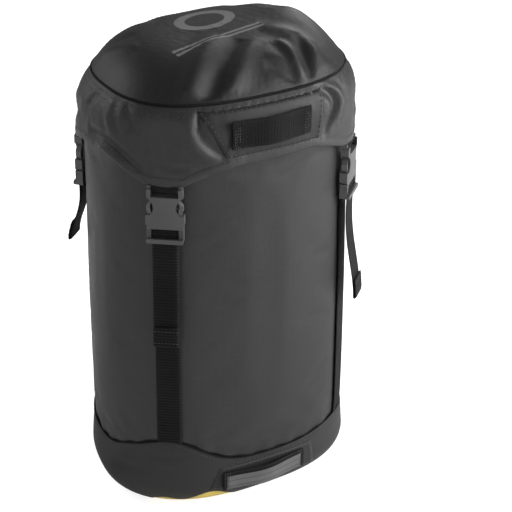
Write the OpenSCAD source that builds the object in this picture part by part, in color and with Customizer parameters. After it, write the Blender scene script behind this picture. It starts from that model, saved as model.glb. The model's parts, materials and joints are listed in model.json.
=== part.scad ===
// Compression sack: a dry bag with a base cup, a rolled neck and a lid that four buckled straps pull down.
// Origin: centre of the base panel's underside. +Z up, -Y is the front, where both grab handles are.

/* [Sack] */
// Half of the width, side to side
bag_a = 92; // [88:1:98]
// Half of the depth, front to back
bag_b = 72; // [70:1:76]
// Squareness of the oval section, where 2 is an ellipse
squareness = 2.6; // [2.4:0.05:2.7]
// Height of the seam between base cup and tube
seam_z = 42; // [40:1:44]
// Thickness of coated fabric, with its seams
fabric_t = 1.2; // [1:0.1:1.4]
// Radius of the base cup's lower edge
base_round = 20; // [16:1:22]

/* [Lid] */
// Height of the seam between the lid's crown and its skirt
rim_z = 321; // [318:1:326]
// Rise of the crown above that seam
crown_h = 24; // [20:1:26]
// Height of the skirt's lower edge between the straps
lid_edge_z = 279; // [277:1:281]
// Drop of the skirt's lower edge at each strap
tab_drop = 10; // [9:0.5:11]

/* [Webbing and buckles] */
// Width of the strap webbing
web_w = 18; // [17:1:18]
// Thickness of the webbing
web_t = 1; // [0.8:0.1:1]
// Length of a strap's free tail
tail_l = 79; // [60:1:100]
// Length of the back left strap's tail, which is drawn in less
short_tail_l = 46; // [40:1:60]
// Width of a buckle's receiver
buckle_w = 24.5; // [24.5:0.5:25.5]

/* [Handles] */
// Length of the lid handle
lid_handle_l = 60; // [50:1:66]
// Length of the base handle
base_handle_l = 68; // [56:1:72]
// Width of the lid handle's webbing
handle_w = 20; // [18:1:22]
// Width of the base handle's webbing
base_handle_w = 16; // [14:1:20]

/* [Hidden] */
$fn = 32;

// Points around the oval section
oval_steps = 56;
// Gap between pieces that are sewn or stacked together
stack_gap = 0.1;

// The two halves of the tube, of which the upper slides inside the lower
lower_top_z = 190;
upper_low_z = 120;
neck_z = 298;
tube_play = 1;
upper_offset = -fabric_t - tube_play;

// The piping stands between two edges of fabric
piping_h = 2.4;
cup_bulge = 1.5;

lid_handle_z = 301;

// The base handle stands off the cup, slack enough for fingers
base_handle_offset = 5.2;
base_handle_z = 23;

// Lid skirt, as offsets outward from the section of the sack
skirt_t = 1.5;
rim_inset = 4;
skirt_offset = 6.5;
skirt_top_z = rim_z - piping_h / 2 - stack_gap;
skirt_round = 0.6;
skirt_rows = [0, 0.08, 0.2, 0.35, 0.6, 1];
tab_half = 48;
tab_flat = 11;
tab_power = 1.4;

// Where the straps stand: an angle around the oval, with the four of them turned a little to the left
strap_turn = 44;
strap_twist = 2.5;
strap_points = [for (x = [-1, 1], y = [-1, 1]) strap_point(x, y)];

// Buckle levels, counted down from the top of the receiver
buckle_z = lid_edge_z - tab_drop - 1;
top_bar_d = 1.5;
slot_d = 3;
slot_h = 4;
cavity_d = 9;
window_d = 15.9;
ledge_d = 21.5;
seat_d = 26.1;
pivot_d = 27.5;
mouth_d = 30.1;
shoulder_d = 31.9;
wrap_bar_d = 34.9;
lip_d = 38.7;
male_end_d = 41.9;
tail_d = 43.5;

// Buckle depths, counted outward from the face of the sack
shell_in = 1.4;
shell_out = 7.9;
cavity_in = 2.2;
cavity_out = 6.6;
core_in = 2.5;
core_out = 6.3;
plate_in = 1.6;
top_bar_v = 3.8;
top_bar_r = 1.3;
wrap_bar_v = 4.1;
wrap_bar_r = 1.4;
lip_in = 6.7;
lip_out = 9;

// Buckle half widths
cavity_u = 10.25;
seat_u = 10.15;
window_r = 8;
window_reach = 4.5;
rail_in = 9.35;
rail_out = 12.55;
flare_u = 0.9;
face_r = 90;
pivot_u = 8.15;
pivot_r = 1.6;
tongue_u = 2.4;
running = 0.05;

// The rolled neck: a ring with a gap at the front for its buckle
roll_r = 48;
roll_t = 12;
roll_h = 28;
roll_gap = 64;
roll_z = neck_z + 0.8 + roll_h / 2;
stiffener_t = 0.8;
stiffener_h = 20;
closure_y = -38;
closure_x = -19.25;
closure_male_end_d = 38.5;

// ---------- Outlines ----------

function signed_pow(v, p) = sign(v) * pow(abs(v), p);

// The sack's oval section, grown outward by d
function oval(d) = [
    for (i = [0 : oval_steps - 1])
        let (t = 360 * i / oval_steps)
        [
            (bag_a + d) * signed_pow(cos(t), 2 / squareness),
            (bag_b + d) * signed_pow(sin(t), 2 / squareness)
        ]
];

function ring(d, z) = [for (p = oval(d)) [p[0], p[1], z]];

function arc(x, y, r, from, to, steps = 5) = [
    for (i = [0 : steps])
        let (t = from + (to - from) * i / steps)
        [x + r * cos(t), y + r * sin(t)]
];

function rounded(w, h, r) = concat(
    arc(w / 2 - r, h / 2 - r, r, 0, 90),
    arc(r - w / 2, h / 2 - r, r, 90, 180),
    arc(r - w / 2, r - h / 2, r, 180, 270),
    arc(w / 2 - r, r - h / 2, r, 270, 360)
);

// The front of the oval, grown outward by d, at a place x
function front_y(d, x) =
    -(bag_b + d) * pow(1 - pow(abs(x) / (bag_a + d), squareness), 1 / squareness);

// The point of the sack's face where a strap stands
function strap_point(side_x, side_y) =
    let (turn = strap_turn + strap_twist * side_x * side_y)
    [
        side_x * bag_a * pow(cos(turn), 2 / squareness),
        side_y * bag_b * pow(sin(turn), 2 / squareness)
    ];

// The angle that turns a strap's parts to face outward there
function strap_yaw(side_x, side_y) =
    let (p = strap_point(side_x, side_y), k = squareness - 1)
    atan2(
        sign(p[0]) * pow(abs(p[0]), k) / pow(bag_a, squareness),
        -sign(p[1]) * pow(abs(p[1]), k) / pow(bag_b, squareness)
    );

// A band that follows the front of the oval between offsets d0 and d1
function front_band(d0, d1, length, steps = 10) = concat(
    [for (i = [0 : steps]) let (x = length * (i / steps - 0.5)) [x, front_y(d1, x)]],
    [for (i = [steps : -1 : 0]) let (x = length * (i / steps - 0.5)) [x, front_y(d0, x)]]
);

// ---------- Builders ----------

// A skin through rings of equal length.
// A loop joins the last ring to the first, otherwise both ends are capped.
module loft(rings, loop = false) {
    n = len(rings[0]);
    m = len(rings);
    sides = [
        for (k = [0 : (loop ? m : m - 1) - 1], i = [0 : n - 1])
            let (l = (k + 1) % m, j = (i + 1) % n)
            each [
                [k * n + i, k * n + j, l * n + j],
                [k * n + i, l * n + j, l * n + i]
            ]
    ];
    caps = loop ? [] : [[for (i = [n - 1 : -1 : 0]) i], [for (i = [0 : n - 1]) (m - 1) * n + i]];
    polyhedron(points = [for (r = rings) each r], faces = concat(sides, caps), convexity = 8);
}

// A wall of constant section between two offsets of the oval
module oval_wall(d_out, d_in, z0, z1) {
    translate([0, 0, z0]) linear_extrude(z1 - z0) difference() {
        polygon(oval(d_out));
        polygon(oval(d_in));
    }
}

module oval_plate(d, z0, z1) {
    translate([0, 0, z0]) linear_extrude(z1 - z0) polygon(oval(d));
}

module front_strip(d0, d1, length, z0, z1) {
    translate([0, 0, z0]) linear_extrude(z1 - z0) polygon(front_band(d0, d1, length));
}

// Puts a strap's parts in place. In them x runs along the sack's face, -y points outward,
// and z points up from the top of the receiver.
module at_strap(side_x, side_y) {
    p = strap_point(side_x, side_y);
    translate([p[0], p[1], buckle_z]) rotate([0, 0, strap_yaw(side_x, side_y)]) children();
}

// Turns a drawing of a buckle's face into a plate between two depths
module plate(v0, v1) {
    translate([0, -v0, 0]) rotate([90, 0, 0]) linear_extrude(v1 - v0) children();
}

// Turns a drawing of depth and height into a bar along the webbing's width
module across(width) {
    translate([-width / 2, 0, 0]) rotate([90, 0, 90]) linear_extrude(width) children();
}

module bar(v, d, r, width) {
    translate([-width / 2, -v, -d]) rotate([0, 90, 0]) cylinder(h = width, r = r);
}

// ---------- Dry bag ----------

module body_tube_lower() {
    color("#474747") oval_wall(0, -fabric_t, seam_z + piping_h / 2 + stack_gap, lower_top_z);
}

// The upper tube ends in the gathered neck, drawn as a plate with stepped shoulders
module body_tube_upper() {
    color("#474747") {
        oval_wall(upper_offset, upper_offset - fabric_t, upper_low_z, neck_z - 3);
        oval_wall(upper_offset - 1, upper_offset - 4, neck_z - 3, neck_z - 1.4);
        oval_plate(upper_offset - 3, neck_z - 1.4, neck_z);
    }
}

// Rings of the base cup's wall, from its upper edge down round its lower edge, for a skin moved in by t
function cup_ring(angle, t) =
    let (r = base_round - t)
    ring(cup_bulge - base_round + r * cos(angle), base_round - r * sin(angle));

module base_cup() {
    top = seam_z - piping_h / 2 - stack_gap;
    angles = [0 : 15 : 90];
    outer = concat([ring(0, top), ring(1, top - 8)], [for (a = angles) cup_ring(a, 0)]);
    inner = concat(
        [for (a = [90 : -15 : 0]) cup_ring(a, fabric_t)],
        [ring(1 - fabric_t, top - 8), ring(-fabric_t, top)]
    );
    color("#3d3d3d") loft(concat(outer, inner), loop = true);
}

module base_panel() {
    color("#d8b22e") oval_plate(cup_bulge - base_round - 0.2, 0, fabric_t);
}

module base_piping() {
    color("#1c1c1c") oval_wall(1.6, -1, seam_z - piping_h / 2, seam_z + piping_h / 2);
}

module base_seam_tape() {
    color("#8a8a8a") oval_wall(-fabric_t - stack_gap, -fabric_t - 0.5, seam_z + 4, seam_z + 20);
}

module back_seam_tape() {
    tape_w = 22;
    tape_y = bag_b - fabric_t - 0.75;
    color("#8a8a8a") translate([-tape_w / 2, tape_y, seam_z + 22]) cube([tape_w, 0.45, 120]);
}

module base_handle_patch() {
    color("#333333") front_strip(1.9, 2.7, base_handle_l + 20, 12, 36);
}

module base_handle() {
    low = base_handle_z - base_handle_w / 2;
    color("#262626")
        front_strip(base_handle_offset, base_handle_offset + 1.2, base_handle_l, low, low + base_handle_w);
}

module base_handle_label() {
    face = base_handle_offset + 1.3;
    label_h = base_handle_w - 4;
    low = base_handle_z - label_h / 2;
    color("#7c7c7c") front_strip(face, face + 0.5, base_handle_l - 2, low, low + label_h);
}

// The run of webbing up the sack's side.
// It carries on behind the buckle, so that the plug can ride up and down it.
module strap_run() {
    bottom = seam_z + piping_h / 2 + stack_gap - buckle_z;
    top = -pivot_d;
    color("#1f1f1f") translate([-web_w / 2, -0.15 - web_t, bottom]) cube([web_w, web_t, top - bottom]);
}

// ---------- Rolled neck ----------

module ring_segment() {
    rotate([0, 0, roll_gap / 2 - 90]) rotate_extrude(angle = 360 - roll_gap, $fn = 96) children();
}

module roll_slot(side, grow) {
    translate([roll_r + side * roll_t / 4, roll_z])
        square([stiffener_t + 2 * grow, stiffener_h + 2 * grow], center = true);
}

module roll_top() {
    color("#3a3a3a") ring_segment() difference() {
        translate([roll_r, roll_z]) polygon(rounded(roll_t, roll_h, roll_t / 2 - 0.5));
        for (side = [-1, 1]) roll_slot(side, running);
    }
}

module roll_stiffener(side) {
    color("#101010") ring_segment() roll_slot(side, 0);
}

module at_closure() {
    translate([closure_x, closure_y, roll_z]) rotate([0, -90, 0]) children();
}

// Webbing from the end of the roll, looped round a bar of the closure buckle
module closure_tab(d, v, side) {
    reach = 5.5;
    color("#1f1f1f") translate([0, 0, -d]) across(web_w) difference() {
        union() {
            translate([-v, 0]) circle(r = top_bar_r + 0.1 + web_t);
            translate([-v - web_t - 0.05, side > 0 ? 0 : -reach]) square([2 * web_t + 0.1, reach]);
        }
        translate([-v, 0]) circle(r = top_bar_r + 0.1);
    }
}

// ---------- Lid ----------

function skirt_out(f) =
    skirt_offset - (skirt_offset + rim_inset) * pow(1 - min(1, f / skirt_round), 2.2);

// How far the lower edge drops at a point of the section
function edge_drop(p) =
    tab_drop * max([
        for (s = strap_points)
            let (reach = max(0, norm(p - s) - tab_flat) / (tab_half - tab_flat))
            pow(max(0, 1 - reach), tab_power)
    ]);

// A ring of the skirt at a share f of its height, t inside its outer face
function skirt_ring(f, t) =
    let (wall = oval(skirt_out(f) - t), base = oval(0))
    [
        for (i = [0 : oval_steps - 1])
            let (low = lid_edge_z - edge_drop(base[i]))
            [wall[i][0], wall[i][1], skirt_top_z + f * (low - skirt_top_z)]
    ];

module lid_skirt() {
    rows = len(skirt_rows);
    color("#4a4a4a") loft(
        concat(
            [for (f = skirt_rows) skirt_ring(f, 0)],
            [for (i = [rows - 1 : -1 : 0]) skirt_ring(skirt_rows[i], skirt_t)]
        ),
        loop = true
    );
}

// A ring of the crown at a share r of its radius
function crown_ring(r, drop) =
    let (rise = crown_h * (1 - pow(r, 4)))
    [for (p = oval(-rim_inset)) [r * p[0], r * p[1], rim_z + piping_h / 2 + stack_gap + rise - drop]];

module lid_crown() {
    shares = [0.2, 0.4, 0.6, 0.75, 0.87, 0.95, 1];
    inner = 0.982;
    count = len(shares);
    color("#2e2e2e") loft(
        concat(
            [for (r = shares) crown_ring(r, 0)],
            [for (i = [count - 1 : -1 : 0]) crown_ring(shares[i] * inner, i == count - 1 ? 1.4 : skirt_t)]
        )
    );
}

module lid_piping() {
    color("#1c1c1c") oval_wall(1.2 - rim_inset, -1.2 - rim_inset, rim_z - piping_h / 2, rim_z + piping_h / 2);
}

module lid_handle_patch() {
    color("#3c3c3c") front_strip(skirt_offset + 0.2, skirt_offset + 1, lid_handle_l + 24, 284, 315);
}

module lid_handle() {
    face = skirt_offset + 1.6;
    low = lid_handle_z - handle_w / 2;
    color("#1c1c1c") front_strip(face, face + 1.2, lid_handle_l, low, low + handle_w);
}

// Webbing sewn inside the lid's lower edge and looped round the receiver's top bar
module lid_loop() {
    sewn = 18;
    color("#1f1f1f") translate([0, 0, -top_bar_d]) across(web_w) difference() {
        union() {
            translate([-top_bar_v, 0]) circle(r = top_bar_r + 0.1 + web_t);
            translate([-top_bar_v + 0.15, 0]) square([2 * web_t + 0.1, sewn]);
        }
        translate([-top_bar_v, 0]) circle(r = top_bar_r + 0.1);
    }
}

// ---------- Buckles ----------

// Half of the receiver's outline, which flares towards its mouth
function receiver_side(side) = [
    [side * (buckle_w / 2 - 1.2), 0.5 - slot_d], [side * buckle_w / 2, -slot_d - 0.7],
    [side * buckle_w / 2, -ledge_d + 4], [side * (buckle_w / 2 + flare_u), -ledge_d - 1],
    [side * (buckle_w / 2 + flare_u), -mouth_d + 1.5], [side * (buckle_w / 2 + flare_u - 1.5), -mouth_d]
];

// The receiver's body, whose outer face is crowned across its width
module receiver_block() {
    left = receiver_side(-1);
    intersection() {
        plate(shell_in, shell_out + 1)
            polygon(concat(receiver_side(1), [for (i = [len(left) - 1 : -1 : 0]) left[i]]));
        translate([0, 0, -mouth_d - 1]) linear_extrude(mouth_d + 2)
            polygon(concat(
                arc(0, face_r - shell_out, face_r, 258, 282, 12),
                [[buckle_w, 0], [-buckle_w, 0]]
            ));
    }
}

// The receiver: a sleeve with a webbing bar above and a window in each side for the arms
module buckle_female() {
    color("#565656") {
        difference() {
            receiver_block();
            plate(0, shell_out + 1)
                translate([0, -slot_d - slot_h / 2]) square([web_w + 0.6, slot_h + 2.2], center = true);
            plate(cavity_in, cavity_out)
                translate([-cavity_u, -mouth_d - 1]) square([2 * cavity_u, mouth_d + 1 - cavity_d]);
            for (side = [-1, 1])
                plate(0, shell_out + 1) intersection() {
                    translate([side * (buckle_w / 2 - window_reach + window_r), -window_d])
                        circle(r = window_r, $fn = 64);
                    translate([-buckle_w, -ledge_d]) square([2 * buckle_w, mouth_d]);
                }
        }
        bar(top_bar_v, top_bar_d, top_bar_r, buckle_w - 3);
        for (side = [-1, 1])
            plate(shell_in, shell_in + 4.3)
                translate([side * (buckle_w / 2 - 1.6), -3]) polygon(rounded(2.6, 5.6, 1));
    }
}

// The plug's spine: a tongue, a block with a round seat for each arm, a shoulder and side rails
module male_core(end_d) {
    difference() {
        union() {
            plate(core_in, core_out)
                polygon([
                    [-tongue_u, -pivot_d], [-tongue_u, -12.5], [-1.4, -10.5],
                    [1.4, -10.5], [tongue_u, -12.5], [tongue_u, -pivot_d]
                ]);
            plate(core_in, core_out)
                translate([-seat_u, -shoulder_d]) square([2 * seat_u, shoulder_d - seat_d]);
            plate(plate_in, shell_out - 0.8)
                translate([0, -(mouth_d + 0.2 + shoulder_d) / 2])
                    polygon(rounded(2 * rail_out, shoulder_d - mouth_d - 0.2, 0.6));
            for (side = [-1, 1])
                plate(plate_in, shell_out - 0.8)
                    translate([side * (rail_in + rail_out) / 2, -(mouth_d + 1 + end_d) / 2])
                        polygon(rounded(rail_out - rail_in, end_d - mouth_d - 1, 1));
        }
        for (side = [-1, 1])
            plate(core_in - 0.2, core_out + 0.2) {
                translate([side * pivot_u, -pivot_d]) circle(r = pivot_r + running);
                translate([side * pivot_u - 2.1, -pivot_d]) square([4.2, 4]);
            }
    }
}

// The plug with its ladder lock: a bar that the webbing wraps and a lip in front of it
module buckle_male() {
    color("#4e4e4e") {
        male_core(male_end_d);
        bar(wrap_bar_v, wrap_bar_d, wrap_bar_r, 2 * rail_in + 1);
        plate(lip_in, lip_out)
            translate([0, -(lip_d + male_end_d) / 2]) polygon(rounded(2 * rail_out, male_end_d - lip_d, 1));
    }
}

module closure_male() {
    color("#4e4e4e") {
        male_core(closure_male_end_d);
        bar(wrap_bar_v, closure_male_end_d - 2.2, top_bar_r, 2 * rail_in + 1);
    }
}

// A sprung arm of the plug, on the side of positive x
module arm_blade() {
    union() {
        plate(core_in, core_out) translate([pivot_u, -pivot_d]) circle(r = pivot_r);
        plate(core_in, core_out) polygon([
            [7.15, -pivot_d], [7.05, -ledge_d], [9.25, -3.4 - window_d], [10.05, -window_d],
            [9.55, 2.8 - window_d], [7.55, -10.9], [8.75, -10.5], [10.95, -12.9],
            [12.45, 1 - window_d], [12.45, -2.4 - window_d],
            [11.35, 0.3 - ledge_d], [9.35, 0.3 - ledge_d], [9.15, -pivot_d]
        ]);
    }
}

module arm(side) {
    color("#565656") if (side > 0) arm_blade(); else mirror([1, 0, 0]) arm_blade();
}

// The webbing inside the ladder lock: up behind the bar, over it and down behind the lip
module strap_wrap() {
    r_in = wrap_bar_r + running;
    wrap_low_d = tail_d + 2;
    color("#1f1f1f") translate([0, 0, -wrap_bar_d]) across(web_w) difference() {
        union() {
            translate([-wrap_bar_v, 0]) circle(r = r_in + web_t);
            translate([-wrap_bar_v + r_in, wrap_bar_d - wrap_low_d]) square([web_t, wrap_low_d - wrap_bar_d]);
            translate([-wrap_bar_v - r_in - web_t, wrap_bar_d - tail_d + 0.7])
                square([web_t, tail_d - 0.7 - wrap_bar_d]);
        }
        translate([-wrap_bar_v, 0]) circle(r = r_in);
        translate([-wrap_bar_v - r_in, wrap_bar_d - wrap_low_d]) square([2 * r_in, wrap_low_d - wrap_bar_d]);
    }
}

// The free tail, with a round edge where it bends out of the ladder lock and a folded, sewn end
module strap_tail(length) {
    v = wrap_bar_v + wrap_bar_r + running;
    fold_h = 15;
    fold_t = 2.6 * web_t;
    color("#1f1f1f") {
        bar(v + web_t / 2, tail_d, web_t / 2, web_w);
        translate([-web_w / 2, -v - web_t, -tail_d - length]) cube([web_w, web_t, length]);
        translate([-web_w / 2, -v - fold_t, -tail_d - length]) cube([web_w, fold_t, fold_h]);
    }
}

// ---------- Nodes ----------

body_tube_lower();
base_cup();
base_panel();
base_piping();
base_seam_tape();
back_seam_tape();
base_handle_patch();
base_handle();
base_handle_label();
at_strap(-1, -1) strap_run();  // strap_front_left
at_strap(1, -1) strap_run();  // strap_front_right
at_strap(-1, 1) strap_run();  // strap_back_left
at_strap(1, 1) strap_run();  // strap_back_right

body_tube_upper();
roll_top();
roll_stiffener(-1);  // roll_stiffener_inner
roll_stiffener(1);  // roll_stiffener_outer
at_closure() buckle_female();  // closure_female
at_closure() closure_male();
at_closure() arm(1);  // closure_arm_upper
at_closure() arm(-1);  // closure_arm_lower
at_closure() closure_tab(top_bar_d, top_bar_v, 1);  // closure_tab_left
at_closure() closure_tab(closure_male_end_d - 2.2, wrap_bar_v, -1);  // closure_tab_right

lid_crown();
lid_skirt();
lid_piping();
lid_handle_patch();
lid_handle();
at_strap(-1, -1) lid_loop();  // lid_loop_front_left
at_strap(1, -1) lid_loop();  // lid_loop_front_right
at_strap(-1, 1) lid_loop();  // lid_loop_back_left
at_strap(1, 1) lid_loop();  // lid_loop_back_right
at_strap(-1, -1) buckle_female();  // buckle_female_front_left
at_strap(1, -1) buckle_female();  // buckle_female_front_right
at_strap(-1, 1) buckle_female();  // buckle_female_back_left
at_strap(1, 1) buckle_female();  // buckle_female_back_right

at_strap(-1, -1) buckle_male();  // buckle_male_front_left
at_strap(1, -1) buckle_male();  // buckle_male_front_right
at_strap(-1, 1) buckle_male();  // buckle_male_back_left
at_strap(1, 1) buckle_male();  // buckle_male_back_right
at_strap(-1, -1) strap_wrap();  // strap_wrap_front_left
at_strap(1, -1) strap_wrap();  // strap_wrap_front_right
at_strap(-1, 1) strap_wrap();  // strap_wrap_back_left
at_strap(1, 1) strap_wrap();  // strap_wrap_back_right
at_strap(-1, -1) strap_tail(tail_l);  // strap_tail_front_left
at_strap(1, -1) strap_tail(tail_l);  // strap_tail_front_right
at_strap(-1, 1) strap_tail(short_tail_l);  // strap_tail_back_left
at_strap(1, 1) strap_tail(tail_l);  // strap_tail_back_right
at_strap(-1, -1) arm(1);  // arm_right_front_left
at_strap(1, -1) arm(1);  // arm_right_front_right
at_strap(-1, 1) arm(1);  // arm_right_back_left
at_strap(1, 1) arm(1);  // arm_right_back_right
at_strap(-1, -1) arm(-1);  // arm_left_front_left
at_strap(1, -1) arm(-1);  // arm_left_front_right
at_strap(-1, 1) arm(-1);  // arm_left_back_left
at_strap(1, 1) arm(-1);  // arm_left_back_right
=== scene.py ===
"""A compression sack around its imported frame: fabric, webbing, stitching, buckle finishes and the studio."""
import json
import math
from bisect import bisect_right

import bmesh
import bpy
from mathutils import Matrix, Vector, noise
from mathutils.bvhtree import BVHTree


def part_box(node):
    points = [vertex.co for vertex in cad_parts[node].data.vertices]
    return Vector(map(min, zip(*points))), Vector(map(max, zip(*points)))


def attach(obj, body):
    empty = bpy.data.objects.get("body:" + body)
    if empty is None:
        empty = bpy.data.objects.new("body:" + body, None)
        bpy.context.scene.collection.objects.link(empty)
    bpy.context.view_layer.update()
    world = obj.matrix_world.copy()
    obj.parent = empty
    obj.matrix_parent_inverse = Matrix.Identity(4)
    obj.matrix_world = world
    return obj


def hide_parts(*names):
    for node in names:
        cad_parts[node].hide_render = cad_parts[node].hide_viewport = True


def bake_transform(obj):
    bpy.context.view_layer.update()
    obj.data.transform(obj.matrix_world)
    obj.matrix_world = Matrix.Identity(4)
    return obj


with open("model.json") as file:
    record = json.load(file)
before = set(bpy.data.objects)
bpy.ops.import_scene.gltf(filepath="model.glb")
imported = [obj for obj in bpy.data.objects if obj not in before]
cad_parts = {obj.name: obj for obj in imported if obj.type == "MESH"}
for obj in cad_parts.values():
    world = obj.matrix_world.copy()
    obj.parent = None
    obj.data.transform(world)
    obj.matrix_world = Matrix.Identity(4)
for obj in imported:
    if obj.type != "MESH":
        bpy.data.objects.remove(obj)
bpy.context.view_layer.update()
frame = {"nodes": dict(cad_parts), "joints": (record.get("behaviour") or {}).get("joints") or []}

# ---------- Sizes, in metres, from the frame ----------

MM = 0.001
UP = Vector((0, 0, 1))
STRAPS = ("front_left", "front_right", "back_left", "back_right")
JOINTS = {j["name"]: j for j in frame["joints"]}

HALF_W, HALF_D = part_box("body_tube_lower")[1].xy
SQUARENESS = 2.6

RIM_Z = sum(corner.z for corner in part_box("lid_piping")) / 2
BASE_SEAM_Z = sum(corner.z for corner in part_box("base_piping")) / 2
CROWN_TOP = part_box("lid_crown")[1].z
# The CAD skirt's tabs reach this far below its edge
CAD_TAB_DROP = 10 * MM
LID_EDGE_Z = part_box("lid_skirt")[0].z + CAD_TAB_DROP
NECK_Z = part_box("body_tube_upper")[1].z
ROLL_LOW, ROLL_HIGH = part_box("roll_top")

# The lid: how far its rim seam stands in, how far its top leans, and the tabs of its flared skirt
RIM_INSET = 5 * MM
RIM_LEAN = Vector((1.75 * MM, -1 * MM, 0))
TAB_DROP = 11.5 * MM
TAB_HALF = 48 * MM
TAB_FLAT = 11 * MM
SKIRT_OUT = 4.6 * MM
# The base seam between the places where the straps draw it up
CUP_LEVEL = BASE_SEAM_Z - 4.5 * MM
WEB_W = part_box("closure_tab_left")[1].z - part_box("closure_tab_left")[0].z
WEB_T = 1.2 * MM
RIB_PITCH = 2.3 * MM
# The webbing's bend round a buckle's bar, and how far the bar's middle stands in from the bend's far side
BEND_R = 1.95 * MM
BAR_INSET = 2.4 * MM
FABRIC_T = 0.9 * MM
# Mesh columns round the sack and round the lid
COLUMNS = 176
LID_COLUMNS = 232


class Oval:
    """The sack's rounded oval. A share of its length runs from the back, by the left, front and right."""

    def __init__(self, half_w, half_d, power):
        samples = 1440
        self.half_w, self.half_d, self.power = half_w, half_d, power
        self.turns = [math.pi / 2 + 2 * math.pi * i / samples for i in range(samples + 1)]
        points = [self.corner(t) for t in self.turns]
        self.lengths = [0.0]
        for a, b in zip(points, points[1:]):
            self.lengths.append(self.lengths[-1] + (b - a).length)
        self.length = self.lengths[-1]

    def corner(self, turn):
        c, s = math.cos(turn), math.sin(turn)
        x = self.half_w * math.copysign(abs(c) ** (2 / self.power), c)
        y = self.half_d * math.copysign(abs(s) ** (2 / self.power), s)
        return Vector((x, y, 0))

    def at(self, share, out=0.0, z=0.0):
        """The point at a share of the way round, moved outward, at a height."""
        length = (share % 1) * self.length
        i = min(bisect_right(self.lengths, length), len(self.lengths) - 1) - 1
        part = (length - self.lengths[i]) / (self.lengths[i + 1] - self.lengths[i])
        point = self.corner(self.turns[i] + part * (self.turns[i + 1] - self.turns[i]))
        return point + out * self.normal(point) + z * UP

    def normal(self, point):
        k = self.power - 1
        return Vector((
            math.copysign(abs(point.x) ** k / self.half_w ** self.power, point.x),
            math.copysign(abs(point.y) ** k / self.half_d ** self.power, point.y),
            0,
        )).normalized()

    def share_near(self, x, y):
        """The share at which the oval passes closest to a point."""
        count = 720
        flat = Vector((x, y, 0))
        return min((i / count for i in range(count)), key=lambda s: (self.at(s) - flat).length)

    def arc(self, share_a, share_b):
        """The length of oval between two shares, the short way."""
        gap = abs(share_a - share_b) % 1
        return min(gap, 1 - gap) * self.length


oval = Oval(HALF_W, HALF_D, SQUARENESS)
# The share at the middle of the front
FRONT = 0.5


class Strap:
    """Where one strap stands: a point on the sack's face, the way out from it and the way along its width."""

    def __init__(self, name):
        tail = JOINTS["tail_swing_" + name]
        self.name = name
        self.out = Vector(JOINTS["squeeze_right_" + name]["axis"])
        self.right = -Vector(tail["axis"])
        self.hinge = Vector(tail["pos_m"])
        self.share = oval.share_near(self.hinge.x, self.hinge.y)
        face = oval.at(self.share)
        self.face = face - self.right * (face - self.hinge).dot(self.right)
        self.hinge_out = (self.hinge - self.face).dot(self.out)

    def at(self, out, z, right=0.0):
        """A point some way out from the face, at a height, and to the right of the strap's middle."""
        return Vector((self.face.x, self.face.y, 0)) + self.out * out + self.right * right + UP * z


straps = [Strap(name) for name in STRAPS]


def bell(distance, width):
    return math.exp(-(distance / width) ** 2)


def ease(value):
    value = min(1.0, max(0.0, value))
    return value * value * (3 - 2 * value)


def parts(count):
    """Fractions from 0 to 1, in even steps."""
    return [i / count for i in range(count + 1)]


def near_strap(share, width):
    """1 on a strap's line, falling to 0 away from it."""
    return max(bell(oval.arc(share, s.share), width) for s in straps)


# ---------- Meshes ----------

def new_object(name, vertices, faces, uvs=None):
    """A mesh object. uvs gives a pair of metres for each corner of each face, for the weaves."""
    mesh = bpy.data.meshes.new(name)
    mesh.from_pydata([tuple(v) for v in vertices], [], faces)
    if uvs:
        layer = mesh.uv_layers.new(name="weave")
        for loop, uv in zip(layer.data, uvs):
            loop.uv = uv
    mesh.shade_smooth()
    mesh.validate()
    piece = bpy.data.objects.new(name, mesh)
    bpy.context.scene.collection.objects.link(piece)
    return piece


def skin(name, rows, closed=True, uv=None):
    """A sheet through rows of points. closed joins each row's end to its start. uv gives metres."""
    count = len(rows[0])
    faces, uvs = [], []
    for r in range(len(rows) - 1):
        for c in range(count if closed else count - 1):
            d = (c + 1) % count
            faces.append((r * count + c, r * count + d, (r + 1) * count + d, (r + 1) * count + c))
            if uv:
                uvs += [uv(r, c), uv(r, c + 1), uv(r + 1, c + 1), uv(r + 1, c)]
    return new_object(name, [p for row in rows for p in row], faces, uvs)


def even(along, up):
    """The places in the weave at even steps along each row and from row to row."""
    return lambda r, c: (c * along, r * up)


def apply_modifiers(piece):
    """Makes the piece's modifiers part of its mesh."""
    graph = bpy.context.evaluated_depsgraph_get()
    mesh = bpy.data.meshes.new_from_object(piece.evaluated_get(graph))
    piece.modifiers.clear()
    piece.data = mesh
    return piece


def thicken(piece, thickness, outward=0.0):
    """Gives a sheet a thickness. outward is 1 to grow along its normals and -1 to grow against them."""
    solid = piece.modifiers.new("thickness", "SOLIDIFY")
    solid.thickness = thickness
    solid.offset = outward
    return apply_modifiers(piece)


def seal(piece, merge=0.0):
    """Joins points nearer than merge, fills the open edges and turns the faces outward."""
    edit = bmesh.new()
    edit.from_mesh(piece.data)
    if merge:
        bmesh.ops.remove_doubles(edit, verts=edit.verts, dist=merge)
    bmesh.ops.holes_fill(edit, edges=[e for e in edit.edges if e.is_boundary], sides=0)
    bmesh.ops.recalc_face_normals(edit, faces=edit.faces)
    edit.to_mesh(piece.data)
    edit.free()
    return piece


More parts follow.
